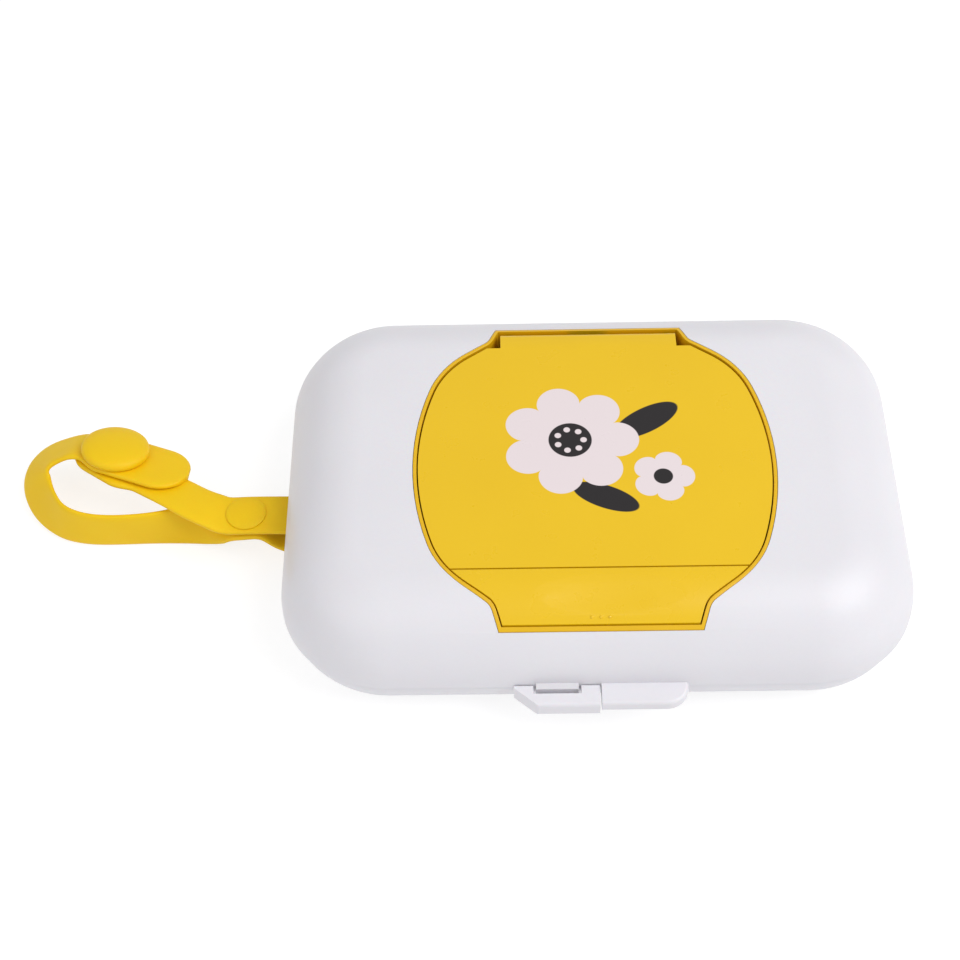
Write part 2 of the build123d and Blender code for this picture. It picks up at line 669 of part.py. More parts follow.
def make_flip_lid():
    """The lid, with a rounded hinge barrel along its rear end and a ridge that holds the seal."""
    lid = lid_body() + rod_x(LID_BARREL_RADIUS, -LID_NECK_HALF, LID_NECK_HALF, LID_BARREL_Y, LID_BARREL_Z)
    reach = LID_BARREL_RADIUS + 1.2
    rear = LID_BARREL_Y + LID_BARREL_RADIUS + 1
    for side in (-1, 1):
        # The ear turns in a round socket, and its stem in the open underside.
        x0, x1 = sorted((side * (LID_EAR_INNER - LID_EAR_GAP), side * (LID_EAR_OUTER + LID_EAR_GAP)))
        lid -= rod_x(LID_EAR_SOCKET, x0, x1, LID_BARREL_Y, LID_BARREL_Z)
        lid -= block(x0, x1, LID_BARREL_Y - reach, rear, 0, LID_BARREL_Z)
        lid -= block(x0, x1, LID_BARREL_Y, rear, 0, LID_BARREL_Z + 0.9)
    bay = SPRING_BAY / 2
    spring_top = LID_BARREL_Z + SPRING_COIL_RADIUS + 0.5
    lid -= block(-bay, bay, LID_BARREL_Y - reach, rear, 0, spring_top)
    bore = LID_PIN_RADIUS + PIN_RUNNING_CLEARANCE
    lid -= rod_x(bore, -LID_NECK_HALF - 1, LID_NECK_HALF + 1, LID_BARREL_Y, LID_BARREL_Z)
    seal_length = MOUTH_LENGTH + 2 * COLLAR_WALL + 1.0
    seal_width = MOUTH_WIDTH + 2 * COLLAR_WALL + 1.0
    under = CASE_HEIGHT - LID_PLATE
    lid += stadium_ring(seal_length, seal_width, 1.2, under - 1.6, under + 0.3, MOUTH_Y)
    return lid


def make_lid_seal():
    """The soft ring under the lid that closes on the mouth's collar."""
    length = MOUTH_LENGTH + 2 * COLLAR_WALL + 1.0 - 2.4
    width = MOUTH_WIDTH + 2 * COLLAR_WALL + 1.0 - 2.4
    top = CASE_HEIGHT - LID_PLATE
    return stadium_ring(length, width, LID_SEAL_WIDTH, COLLAR_TOP + LID_SEAL_GAP, top, MOUTH_Y)


def make_lid_pin():
    """The lid's hinge pin, seated in the insert's ears."""
    return rod_x(LID_PIN_RADIUS, -LID_NECK_HALF, LID_NECK_HALF, LID_BARREL_Y, LID_BARREL_Z)


def make_lid_spring():
    """The torsion spring round the pin that throws the lid open; its leg rests on the tray's floor."""
    plane = Plane(origin=(-SPRING_BAY / 2 + 1.2, LID_BARREL_Y, LID_BARREL_Z), z_dir=(1, 0, 0), x_dir=(0, 0, -1))
    coil_length = SPRING_BAY - 2.4
    coil = helix_spring(SPRING_COIL_RADIUS, SPRING_WIRE, coil_length, SPRING_TURNS, plane)
    start = (-SPRING_BAY / 2 + 1.2, LID_BARREL_Y, LID_BARREL_Z - SPRING_COIL_RADIUS)
    leg = Pos(start[0], start[1] - SPRING_LEG / 2, start[2]) * Rot(90, 0, 0) * Cylinder(SPRING_WIRE / 2, SPRING_LEG)
    return coil + leg


# Release button
def make_release_button():
    """The button: a dished plate in the front neck, two pivot lugs and three touch dots."""
    grow = -INSERT_WALL - LID_GAP
    low = INSERT_FLOOR_TOP + 1.0
    plate = insert_prism(grow, low, CASE_HEIGHT + 2) & cover_form(0)
    plate -= cover_form(-BUTTON_PLATE)
    plate -= block(
        -CASE_LENGTH, CASE_LENGTH, LID_FRONT_Y - BUTTON_GAP, CASE_DEPTH, 0, CASE_HEIGHT + 2
    )
    # The finger dish is cut square to the curved surface.
    slope = math.asin((abs(DISH_Y) - CASE_DEPTH / 2 + COVER_EDGE) / COVER_EDGE)
    lift = DISH_RADIUS - DISH_DEPTH
    dish_y = DISH_Y - lift * math.sin(slope)
    dish_z = cover_surface(DISH_Y) + lift * math.cos(slope)
    plate -= Pos(0, dish_y, dish_z) * Sphere(DISH_RADIUS)
    for side in (-1, 1):
        centre = side * BUTTON_LUG_SPACING / 2
        half = BUTTON_LUG_WIDTH / 2
        lug = rod_x(BUTTON_LUG_RADIUS, centre - half, centre + half, BUTTON_PIVOT_Y, BUTTON_PIVOT_Z)
        lug += block(
            centre - half,
            centre + half,
            BUTTON_PIVOT_Y - BUTTON_LUG_RADIUS,
            BUTTON_PIVOT_Y + BUTTON_LUG_RADIUS,
            BUTTON_PIVOT_Z,
            cover_surface(BUTTON_PIVOT_Y) - BUTTON_PLATE / 2,
        )
        plate += lug
    for index in (-1, 0, 1):
        plate += Pos(index * DOT_SPACING, DOT_Y, cover_surface(DOT_Y) - DOT_RADIUS / 2) * Sphere(DOT_RADIUS)
    half = BUTTON_LUG_SPACING / 2 + BUTTON_LUG_WIDTH
    return plate - rod_x(
        BUTTON_PIN_RADIUS + PIN_RUNNING_CLEARANCE, -half, half, BUTTON_PIVOT_Y, BUTTON_PIVOT_Z
    )


def make_button_pin():
    """The button's pivot pin, seated in the tray's lugs."""
    half = BUTTON_LUG_SPACING / 2 + BUTTON_LUG_WIDTH / 2 + 0.6
    return rod_x(BUTTON_PIN_RADIUS, -half, half, BUTTON_PIVOT_Y, BUTTON_PIVOT_Z)


def make_button_spring():
    """The return spring under the button's front."""
    low = INSERT_FLOOR_TOP + RETURN_SPRING_WIRE / 2
    front = RETURN_SPRING_Y - RETURN_SPRING_RADIUS - RETURN_SPRING_WIRE
    top = cover_surface(front) - BUTTON_PLATE * 1.25 - RETURN_SPRING_WIRE / 2 - SPRING_SEAT_CLEARANCE
    plane = Plane(origin=(0, RETURN_SPRING_Y, low), z_dir=(0, 0, 1))
    return helix_spring(RETURN_SPRING_RADIUS, RETURN_SPRING_WIRE, top - low, RETURN_SPRING_TURNS, plane)


# Strap
def heading_in_face(degrees):
    """A direction across the closure snap's face, from its heading in plan."""
    out = Vector(*CLOSURE_NORMAL).normalized()
    plan = Vector(math.cos(math.radians(degrees)), math.sin(math.radians(degrees)), 0)
    return (plan - out * plan.dot(out)).normalized()


def closure_out():
    """The way that the closure snap's cap faces."""
    return Vector(*CLOSURE_NORMAL).normalized()


def under_point(distance):
    """The middle of the strap's under end, that far towards the case from the snap."""
    return Vector(*CLOSURE_POINT) - closure_out() * CLOSURE_PITCH + heading_in_face(UNDER_HEADING) * distance


def over_point(distance):
    """The middle of the strap's over end, that far towards the case from the snap."""
    return Vector(*CLOSURE_POINT) + heading_in_face(OVER_HEADING) * distance


def leaning(lean, heading=90.0):
    """A width direction, tilted up from level by lean, its plan direction given by heading."""
    rise, turn = math.radians(lean), math.radians(heading)
    return Vector(math.cos(rise) * math.cos(turn), math.cos(rise) * math.sin(turn), math.sin(rise))


def route_stations(rows):
    """Stations from rows of the strap's route."""
    end = -CASE_LENGTH / 2
    return [
        (Vector(end - reach, side, ANCHOR_BAR_HEIGHT + rise), leaning(lean, heading))
        for reach, side, rise, lean, heading in rows
    ]


def strap_stations():
    """Centre points of the strap from its under end to its over end, each with its width direction."""
    out = closure_out()
    under_across = out.cross(heading_in_face(UNDER_HEADING))
    over_across = heading_in_face(OVER_HEADING).cross(out)
    flat = Vector(0, 1, 0)
    low_layer = KEEPER_TOP_Z - KEEPER_PITCH
    flat_half = KEEPER_SOCKET_RADIUS + 1.0
    stations = [(under_point(s), under_across) for s in (UNDER_PAD[0], UNDER_PAD[1], 12.0)]
    # The upper leg lies nearly flat and runs in to the keeper snap and the anchor bar.
    stations += route_stations(UPPER_LEG)
    stations += [
        (Vector(KEEPER_X - flat_half - 2, KEEPER_SIDE, KEEPER_TOP_Z), flat),
        (Vector(KEEPER_X + flat_half, KEEPER_SIDE, KEEPER_TOP_Z), flat),
    ]
    for step in range(7):
        angle = math.radians(90 - 30 * step)
        x = BAR_X + BAR_LOOP_RADIUS * math.cos(angle)
        z = ANCHOR_BAR_HEIGHT + BAR_LOOP_RADIUS * math.sin(angle)
        stations.append((Vector(x, 0, z), flat))
    # The lower leg leaves flat, turns up on its edge and runs round the hand loop.
    stations += route_stations(BAR_EXIT)
    stations += [
        (Vector(KEEPER_X + flat_half, KEEPER_SIDE, low_layer), flat),
        (Vector(KEEPER_X - flat_half, KEEPER_SIDE, low_layer), flat),
    ]
    stations += route_stations(HAND_LOOP)
    stations += [(over_point(s), over_across) for s in (-12.0, 5.0, OVER_PAD[1])]
    return stations


def disc(centre, axis, radius, height):
    """A round plate centred on a point, its axis given."""
    return Plane(origin=centre, z_dir=axis) * Cylinder(radius, height)


def pad(point_at, heading, sizes):
    """A widened, round-ended stretch of strap between two distances from the snap."""
    start, end, radius = sizes
    plane = Plane(origin=point_at((start + end) / 2), x_dir=heading_in_face(heading), z_dir=closure_out())
    outline = SlotCenterToCenter(end - start, 2 * radius)
    return plane * Pos(0, 0, -PAD_THICKNESS / 2) * extrude(outline, PAD_THICKNESS)


def ribbon(stations):
    """A ruled strip of the strap's section through the stations."""
    points = [point for point, _ in stations]
    sections = []
    for index, (point, width) in enumerate(stations):
        before = points[max(index - 1, 0)]
        after = points[min(index + 1, len(points) - 1)]
        tangent = (after - before).normalized()
        across = (width - tangent * width.dot(tangent)).normalized()
        plane = Plane(origin=point, x_dir=across, z_dir=tangent)
        sections.append(plane * Rectangle(STRAP_WIDTH, STRAP_THICKNESS))
    return loft(sections, ruled=True)


def make_strap():
    """One moulded strip, looped round the anchor bar, with both ends in the closure snap."""
    strap = ribbon(strap_stations())
    strap += pad(under_point, UNDER_HEADING, UNDER_PAD)
    strap += pad(over_point, OVER_HEADING, OVER_PAD)
    bore = STUD_RADIUS + STUD_CLEARANCE
    strap -= disc(Vector(*CLOSURE_POINT), closure_out(), bore, 6 * STRAP_THICKNESS)
    keeper_middle = Vector(KEEPER_X, KEEPER_SIDE, KEEPER_TOP_Z - KEEPER_PITCH / 2)
    return strap - disc(keeper_middle, Vector(0, 0, 1), bore, 3 * STRAP_THICKNESS)


def snap_cap(centre, out, radius, height, stud_length):
    """A domed snap cap with its stud. centre is on the strap's outer face, out points away from it."""
    plane = Plane(origin=centre, z_dir=out)
    crown = height * 0.65
    sphere_radius = (radius**2 + crown**2) / (2 * crown)
    dome = Pos(0, 0, height - sphere_radius) * Sphere(sphere_radius)
    cap = Pos(0, 0, height / 2) * Cylinder(radius, height) & dome
    stud = Pos(0, 0, (0.2 - stud_length) / 2) * Cylinder(STUD_RADIUS, stud_length + 0.2)
    return plane * (cap + stud)


def snap_socket(centre, out, radius):
    """The ring that the stud snaps into, behind the under layer. centre is on that layer's back."""
    plane = Plane(origin=centre, z_dir=out)
    middle = Pos(0, 0, -SOCKET_THICKNESS / 2)
    ring = middle * Cylinder(radius, SOCKET_THICKNESS)
    return plane * (ring - middle * Cylinder(STUD_RADIUS + STUD_CLEARANCE, 2 * SOCKET_THICKNESS))


def make_snaps():
    """The closure snap's and the keeper snap's caps and sockets, by node name."""
    out = closure_out()
    pad_half = PAD_THICKNESS / 2
    front = Vector(*CLOSURE_POINT) + out * pad_half
    back = Vector(*CLOSURE_POINT) - out * (CLOSURE_PITCH + pad_half)
    closure_stud = CLOSURE_PITCH + PAD_THICKNESS + SOCKET_THICKNESS
    up = Vector(0, 0, 1)
    half = STRAP_THICKNESS / 2
    top = Vector(KEEPER_X, KEEPER_SIDE, KEEPER_TOP_Z + half)
    under = Vector(KEEPER_X, KEEPER_SIDE, KEEPER_TOP_Z - KEEPER_PITCH - half)
    keeper_stud = KEEPER_PITCH + STRAP_THICKNESS + SOCKET_THICKNESS
    return {
        "closure_snap_cap": snap_cap(front, out, CLOSURE_CAP_RADIUS, CLOSURE_CAP_HEIGHT, closure_stud),
        "closure_snap_socket": snap_socket(back, out, CLOSURE_SOCKET_RADIUS),
        "keeper_snap_cap": snap_cap(top, up, KEEPER_CAP_RADIUS, KEEPER_CAP_HEIGHT, keeper_stud),
        "keeper_snap_socket": snap_socket(under, up, KEEPER_SOCKET_RADIUS),
    }


def main():
    """Writes one STEP file for each piece."""
    left_pin, right_pin = hinge_pins()
    parts = {
        "bottom_shell": make_bottom_shell(),
        "shell_gasket": make_shell_gasket(),
        "hinge_pin_left": left_pin,
        "hinge_pin_right": right_pin,
        "top_shell": make_top_shell(),
        "dispenser_frame": make_dispenser_frame(),
        "nozzle_membrane": make_nozzle_membrane(),
        "nozzle_retainer": make_nozzle_retainer(),
        "lid_hinge_pin": make_lid_pin(),
        "lid_spring": make_lid_spring(),
        "flip_lid": make_flip_lid(),
        "lid_seal": make_lid_seal(),
        "release_button": make_release_button(),
        "button_pivot_pin": make_button_pin(),
        "button_spring": make_button_spring(),
        "strap": make_strap(),
        **make_snaps(),
    }
    os.makedirs("parts", exist_ok=True)
    for name, shape in parts.items():
        export_step(shape, f"parts/{name}.step")


main()
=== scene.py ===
"""Looks of the baby wipes travel case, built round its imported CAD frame. Lengths are in metres."""

import json
import math

import bpy
import numpy as np
from mathutils import Matrix, Vector


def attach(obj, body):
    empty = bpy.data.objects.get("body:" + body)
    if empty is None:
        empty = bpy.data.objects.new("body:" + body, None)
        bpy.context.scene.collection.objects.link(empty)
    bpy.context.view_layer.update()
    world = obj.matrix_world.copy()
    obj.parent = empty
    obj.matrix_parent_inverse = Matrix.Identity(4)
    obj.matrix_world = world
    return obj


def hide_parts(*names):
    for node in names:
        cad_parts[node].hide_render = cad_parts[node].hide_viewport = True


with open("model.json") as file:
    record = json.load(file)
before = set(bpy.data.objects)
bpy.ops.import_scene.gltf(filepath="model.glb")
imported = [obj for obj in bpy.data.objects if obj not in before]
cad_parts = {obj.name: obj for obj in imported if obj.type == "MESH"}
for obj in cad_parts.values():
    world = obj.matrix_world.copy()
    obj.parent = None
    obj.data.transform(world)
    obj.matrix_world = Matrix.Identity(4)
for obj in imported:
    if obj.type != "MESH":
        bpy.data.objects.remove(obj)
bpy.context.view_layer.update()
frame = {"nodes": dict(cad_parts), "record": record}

MM = 0.001

# Camera, fitted to the photograph
CAMERA_PLACE = Vector((-0.026504, -0.357229, 0.488073))
CAMERA_UP = Vector((0.01415331, 0.7871674, 0.61657697))
CAMERA_FORWARD = Vector((-0.01421106, 0.61673481, -0.7870427))
CAMERA_LENS = 70.356
CAMERA_SENSOR = 36.0
CAMERA_NEAR = 0.01

# Light: the room's level, and two square lamps that face the origin
WORLD_LEVEL = 0.56
LAMP_SIZE = 0.9
KEY_PLACE = (0.75, -0.25, 1.1)
KEY_POWER = 10.0
FILL_PLACE = (-0.7, -0.6, 0.9)
FILL_POWER = 2.5

# Floor: its half-size and its place just under the case, then its matt share and glow for the camera
FLOOR_HALF = 3.0
FLOOR_DROP = 0.05 * MM
FLOOR_SHADOW = 0.62
FLOOR_GLOW = 0.76

# Colours as the eye reads them, in sRGB. A finish drifts between its colour and its shade.
SHELL_COLOUR = (0.895, 0.888, 0.908)
SHELL_SHADE = (0.876, 0.869, 0.890)
LID_COLOUR = (0.925, 0.758, 0.040)
LID_SHADE = (0.912, 0.742, 0.028)
FRAME_COLOUR = (0.908, 0.722, 0.050)
FRAME_SHADE = (0.890, 0.700, 0.038)
STRAP_COLOUR = (0.955, 0.795, 0.030)
STRAP_SHADE = (0.940, 0.765, 0.020)
SILICONE_COLOUR = (0.930, 0.930, 0.925)
SILICONE_SHADE = (0.900, 0.900, 0.900)
STEEL_COLOUR = (0.780, 0.780, 0.790)
STEEL_SHADE = (0.700, 0.700, 0.710)
PRINT_PALE = (0.905, 0.855, 0.865)
PRINT_DARK = (0.105, 0.085, 0.095)
FLOOR_COLOUR = (0.960, 0.960, 0.965)

# Moulded surface, its scales in features per metre
SLOW_SHARE = 0.75
FINE_MOTTLE_SCALE = 900.0
TONE_FLOOR = 0.25
TONE_CONTRAST = 2.0
CLOUDING_SCALE = 140.0
SKIN_HEIGHT = 0.2 * MM

# Flower print, in millimetres and degrees from the case's middle
PRINT_LEVEL = 44.0 * MM
PRINT_EDGE = 0.2 * MM
# A blossom is its place, its radius, its count of petals and the radius of its eye.
BLOSSOMS = (((-7.0, 5.0), 21.0, 7, 6.6), ((20.5, -9.5), 9.5, 5, 2.9))
PETAL_DIP = 0.30
PETAL_POWER = 0.6
# A leaf is its place, its two half-sizes and its turn.
LEAVES = (((16.5, 12.5), (11.5, 4.6), 32.0), ((3.0, -17.0), (10.5, 4.2), -24.0))
# The seeds stand in a ring in the first blossom's eye.
SEEDS = 7
SEED_RADIUS = 1.0
SEED_RING = 4.1

# Finger dish in the release button
DISH_PLACE = (3.0 * MM, -50.6 * MM)
DISH_HALF = (22.0 * MM, 5.6 * MM)
DISH_DEPTH = 0.45 * MM

# Softened edges of the CAD pieces, their widths in millimetres
SOFTENED = {
    "bottom_shell": 0.4,
    "top_shell": 0.4,
    "dispenser_frame": 0.18,
    "flip_lid": 0.35,
    "release_button": 0.35,
    "keeper_snap_cap": 0.3,
}
SOFTENED_ANGLE = 35.0
SOFTENED_STEPS = 2
FLAT_FACE_WEIGHT = 80
WELD_REACH = 0.002 * MM

# Strap's section and its two pads
STRAP_WIDTH = 14.5 * MM
STRAP_THICKNESS = 2.0 * MM
STRAP_COLUMNS = 24
ACROSS_POWER = 0.35
THROUGH_POWER = 0.6
PAD_RADIUS = 10.0 * MM
UNDER_PAD_SPAN = 9.0 * MM
OVER_PAD_SPAN = 16.5 * MM
# The pads are thicker than the strap, so that the two layers meet at the closure snap.
PAD_SWELL = 0.46 * MM
SHOULDER_SOFTNESS = 1.0 * MM
TIP_HALF_WIDTH = 0.4 * MM

# Strap's route, in millimetres and degrees
CASE_END = -95.0
BAR_HEIGHT = 10.1
BAR_LOOP_RADIUS = 5.2
BAR_LOOP_STEP = 30
# A place is its distance out from the case's end, its place in Y and its height over the bar.
BAR_PLACE = (-5.5, 0.0, 0.0)
KEEPER_PLACE = (14.0, 0.3, BAR_LOOP_RADIUS)
CLOSURE_PLACE = (57.9, 23.5, 7.6)
# At each snap the strap's two layers lie one pitch apart. Past the keeper, the lower one leans.
KEEPER_PITCH = 2.3
KEEPER_FLAT = 4.9
KEEPER_APPROACH = KEEPER_FLAT + 2.0
KEEPER_LEANS = (4, 6, 10)
CLOSURE_PITCH = 2.5
CLOSURE_OUT = Vector((0.14, 0.25, 0.96)).normalized()
UNDER_HEADING = -36.0
OVER_HEADING = -18.0
# A run is distances from the closure snap, towards the case.
UNDER_RUN = (-14.0, -4.0, 5.0, 12.0)
OVER_RUN = (-12.0, -4.0, 5.0, 15.5, 25.5)
# A row is a place, then the lean of the strap's width and the heading of that width in plan.
UPPER_LEG = (
    (36.7, 8.8, 6.1, -14, 58),
    (30.3, 4.4, 6.2, -11, 68),
    (24.3, 1.7, 5.9, -7, 78),
)
BAR_EXIT = (
    (0.6, 0.0, -4.7, 0, 90),
    (5.4, 0.0, -1.5, 0, 90),
)
HAND_LOOP = (
    (21.4, 1.4, 0.8, 24, 90),
    (26.0, 3.0, -1.3, 40, 90),
    (32.0, 3.2, -2.5, 66, 90),
    (39.0, 2.3, -2.7, 82, 90),
    (47.0, 1.6, -2.7, 88, 90),
    (57.0, 1.1, -2.6, 90, 90),
    (66.0, 1.6, -2.5, 86, 90),
    (73.6, 4.2, -2.5, 78, 60),
    (77.8, 7.8, -2.4, 69, 50),
    (81.2, 12.0, -2.3, 58, 42),
    (83.6, 16.6, -1.5, 52, 28),
    (84.6, 20.6, -0.1, 47, 5),
    (83.6, 24.0, 1.8, 40, -22),
    (80.6, 26.3, 3.8, 32, -45),
    (76.2, 27.4, 5.5, 25, -65),
)

# Smoothing of the strap's route: spline steps to a stretch, and rounds of averaging
ROUTE_STEPS = 10
PLACE_PASSES = 24
TURN_PASSES = 90

# Closure snap's cap, with its seat just inside the pad's face
CAP_SEAT = 1.1 * MM
CAP_COLUMNS = 96
# Radius and height over the seat, in millimetres, from the stud's end to the crown.
CAP_PROFILE = (
    (0.0, -6.2), (2.3, -6.2), (2.6, -5.9), (2.6, 0.0), (9.6, 0.0), (10.5, 0.35), (10.9, 1.1),
    (10.9, 1.9), (10.6, 2.6), (9.9, 3.15), (8.4, 3.7), (5.8, 4.2), (3.0, 4.45), (0.0, 4.5),
)


def linear(colour):
    """Linear light values of an sRGB colour, with alpha.

    A low value is divided by 12.92. A higher one is raised by 0.055, divided by 1.055 and taken to
    the power of 2.4.
    """
    values = [c / 12.92 if c <= 0.04045 else ((c + 0.055) / 1.055) ** 2.4 for c in colour]
    return (*values, 1.0)


def feed(tree, value, socket):
    """Give a node's input its value: a wire, another node's output, or a plain number or colour."""
    if isinstance(value, Wire):
        tree.links.new(value.socket, socket)
    elif isinstance(value, bpy.types.NodeSocket):
        tree.links.new(value, socket)
    else:
        socket.default_value = value


class Wire:
    """A number in a node tree. Arithmetic on wires adds Math nodes."""

    def __init__(self, tree, socket):
        self.tree = tree
        self.socket = socket

    def op(self, operation, *others, clamp=False):
        """A Math node of this number and the others, in that order."""
        node = self.tree.nodes.new("ShaderNodeMath")
        node.operation = operation
        node.use_clamp = clamp
        for value, socket in zip((self, *others), node.inputs):
            feed(self.tree, value, socket)
        return Wire(self.tree, node.outputs[0])

    def __add__(self, other):
        return self.op("ADD", other)

    def __sub__(self, other):
        return self.op("SUBTRACT", other)

    def __mul__(self, other):
        return self.op("MULTIPLY", other)

    def __truediv__(self, other):
        return self.op("DIVIDE", other)

    def under(self, limit, soft):
        """1 below the limit and 0 above it: half, less the distance past the limit over a soft width."""
        return (self - limit).op("MULTIPLY", -1.0 / soft).op("ADD", 0.5, clamp=True)


def any_of(fields):
    """1 where any of the fields is 1: the greatest of them."""
    whole = fields[0]
    for field in fields[1:]:
        whole = whole.op("MAXIMUM", field)
    return whole


def mix_colour(tree, factor, first, second):
    """A colour between two, each a socket or a plain sRGB colour."""
    node = tree.nodes.new("ShaderNodeMix")
    node.data_type = "RGBA"
    feed(tree, factor, node.inputs[0])
    colour_inputs = [s for s in node.inputs if s.type == "RGBA"]
    for value, socket in zip((first, second), colour_inputs):
        feed(tree, value if isinstance(value, bpy.types.NodeSocket) else linear(value), socket)
    return next(s for s in node.outputs if s.type == "RGBA")


def noise(tree, place, scale, detail=2.0):
    """Fractal noise from 0 to 1 at a scale in features per metre."""
    node = tree.nodes.new("ShaderNodeTexNoise")
    node.inputs["Detail"].default_value = detail
    feed(tree, scale, node.inputs["Scale"])
    feed(tree, place, node.inputs["Vector"])
    return Wire(tree, node.outputs[0])


def bump(tree, height, distance, strength=1.0):
    """A bump node that lifts the surface by a height from 0 to 1 times a distance and a strength."""
    node = tree.nodes.new("ShaderNodeBump")
    node.inputs["Distance"].default_value = distance
    feed(tree, strength, node.inputs["Strength"])
    feed(tree, height, node.inputs["Height"])
    return node


def object_place(tree):
    """The point's place on its piece, as three wires for X, Y and Z."""
    parts = tree.nodes.new("ShaderNodeSeparateXYZ")
    feed(tree, tree.nodes.new("ShaderNodeTexCoord").outputs["Object"], parts.inputs[0])
    return [Wire(tree, parts.outputs[axis]) for axis in "XYZ"]


def moulded_group():
    """Moulded surface: a slow drift of tone, fine mottling, uneven gloss and a faint pebbled skin.

    The tone goes from the colour to the shade by slow noise with a share of fine noise, less the
    tone floor and times the contrast. The roughness goes from the low gloss to the high one by
    clouded noise. The skin is a bump of pebbled noise.
    """
    tree = bpy.data.node_groups.new("moulded_surface", "ShaderNodeTree")
    sockets = (
        ("INPUT", "Color", ("Colour", "Shade")),
        ("INPUT", "Float", ("Mottle Scale", "Skin Scale", "Skin Depth", "Gloss Low", "Gloss High")),
        ("OUTPUT", "Color", ("Colour",)),
        ("OUTPUT", "Float", ("Roughness",)),
        ("OUTPUT", "Vector", ("Normal",)),
    )
    for side, kind, names in sockets:
        for name in names:
            tree.interface.new_socket(name, in_out=side, socket_type="NodeSocket" + kind)
    inside = tree.nodes.new("NodeGroupInput")
    result = tree.nodes.new("NodeGroupOutput")
    place = tree.nodes.new("ShaderNodeTexCoord").outputs["Object"]

    slow = noise(tree, place, inside.outputs["Mottle Scale"])
    fine = noise(tree, place, FINE_MOTTLE_SCALE, detail=3.0)
    tone = slow * SLOW_SHARE + fine * (1 - SLOW_SHARE) - TONE_FLOOR
    tone = tone.op("MULTIPLY", TONE_CONTRAST, clamp=True)
    colour = mix_colour(tree, tone, inside.outputs["Colour"], inside.outputs["Shade"])
    feed(tree, colour, result.inputs["Colour"])

    low = Wire(tree, inside.outputs["Gloss Low"])
    high = Wire(tree, inside.outputs["Gloss High"])
    clouded = noise(tree, place, CLOUDING_SCALE, detail=4.0)
    feed(tree, low + (high - low) * clouded, result.inputs["Roughness"])

    pebbled = noise(tree, place, inside.outputs["Skin Scale"])
    skin = bump(tree, pebbled, SKIN_HEIGHT, inside.outputs["Skin Depth"])
    feed(tree, skin.outputs["Normal"], result.inputs["Normal"])
    return tree


MOULDED = moulded_group()


def moulded_material(name, colour, shade, gloss, skin, mottle, **shader_values):
    """A finish that drifts between two colours, for moulded plastic and rubber and for steel.

    gloss is its least and most roughness, skin its pebbles' scale and depth, and mottle the scale
    of its drift. Every other value goes to the shader's socket of that name.
    """
    material = bpy.data.materials.new(name)
    material.use_nodes = True
    tree = material.node_tree
    shader = tree.nodes["Principled BSDF"]
    group = tree.nodes.new("ShaderNodeGroup")
    group.node_tree = MOULDED
    group.inputs["Colour"].default_value = linear(colour)
    group.inputs["Shade"].default_value = linear(shade)
    group.inputs["Gloss Low"].default_value = gloss[0]
    group.inputs["Gloss High"].default_value = gloss[1]
    group.inputs["Skin Scale"].default_value = skin[0]
    group.inputs["Skin Depth"].default_value = skin[1]
    group.inputs["Mottle Scale"].default_value = mottle
    feed(tree, group.outputs["Colour"], shader.inputs["Base Color"])
    feed(tree, group.outputs["Roughness"], shader.inputs["Roughness"])
    feed(tree, group.outputs["Normal"], shader.inputs["Normal"])
    for socket, value in shader_values.items():
        shader.inputs[socket.replace("_", " ")].default_value = value
    return material


def finish_nodes(material):
    """A moulded material's node tree, its surface group and its shader."""
    tree = material.node_tree
    group = next(node for node in tree.nodes if node.type == "GROUP")
    return tree, group, tree.nodes["Principled BSDF"]


def petal_field(x, y, centre, radius, count):
    """1 inside a flower.

    Round its centre, the edge lies at the radius times one, less the petal dip, plus the dip times
    a low power of the cosine's size, where the cosine is of half the petal count times the angle.
    """
    dx = x - centre[0] * MM
    dy = y - centre[1] * MM
    turn = dy.op("ARCTAN2", dx) * (count / 2)
    swell = turn.op("COSINE").op("ABSOLUTE").op("POWER", PETAL_POWER)
    edge = (swell * PETAL_DIP + (1 - PETAL_DIP)) * (radius * MM)
    distance = (dx * dx + dy * dy).op("SQRT")
    return (distance - edge).under(0.0, PRINT_EDGE)


def oval_field(x, y, centre, half, degrees=0.0):
    """1 inside a turned oval.

    It is where the root of two squares is under one: the distances along and across the oval, each
    divided by its half-size.
    """
    turn = math.radians(degrees)
    dx = x - centre[0] * MM
    dy = y - centre[1] * MM
    along = (dx * math.cos(turn) + dy * math.sin(turn)) / (half[0] * MM)
    across = (dy * math.cos(turn) - dx * math.sin(turn)) / (half[1] * MM)
    return (along * along + across * across).op("SQRT").under(1.0, PRINT_EDGE / (half[1] * MM))


def seed_places():
    """The seeds' places: points at even angles round the first blossom's middle."""
    centre = BLOSSOMS[0][0]
    angles = [2 * math.pi * index / SEEDS for index in range(SEEDS)]
    return [(centre[0] + SEED_RING * math.cos(a), centre[1] + SEED_RING * math.sin(a)) for a in angles]


def lid_print(tree, base):
    """The printed flowers over the lid's own colour, on its outer face only."""
    x, y, height = object_place(tree)
    outer_face = height.op("GREATER_THAN", PRINT_LEVEL)
    leaves = [oval_field(x, y, centre, half, turn) for centre, half, turn in LEAVES]
    petals = [petal_field(x, y, centre, radius, count) for centre, radius, count, _ in BLOSSOMS]
    eyes = [oval_field(x, y, centre, (eye, eye)) for centre, _, _, eye in BLOSSOMS]
    seeds = [oval_field(x, y, centre, (SEED_RADIUS, SEED_RADIUS)) for centre in seed_places()]
    layers = ((leaves, PRINT_DARK), (petals, PRINT_PALE), (eyes, PRINT_DARK), (seeds, PRINT_PALE))
    colour = base
    for shapes, ink in layers:
        colour = mix_colour(tree, any_of(shapes) * outer_face, colour, ink)
    return colour


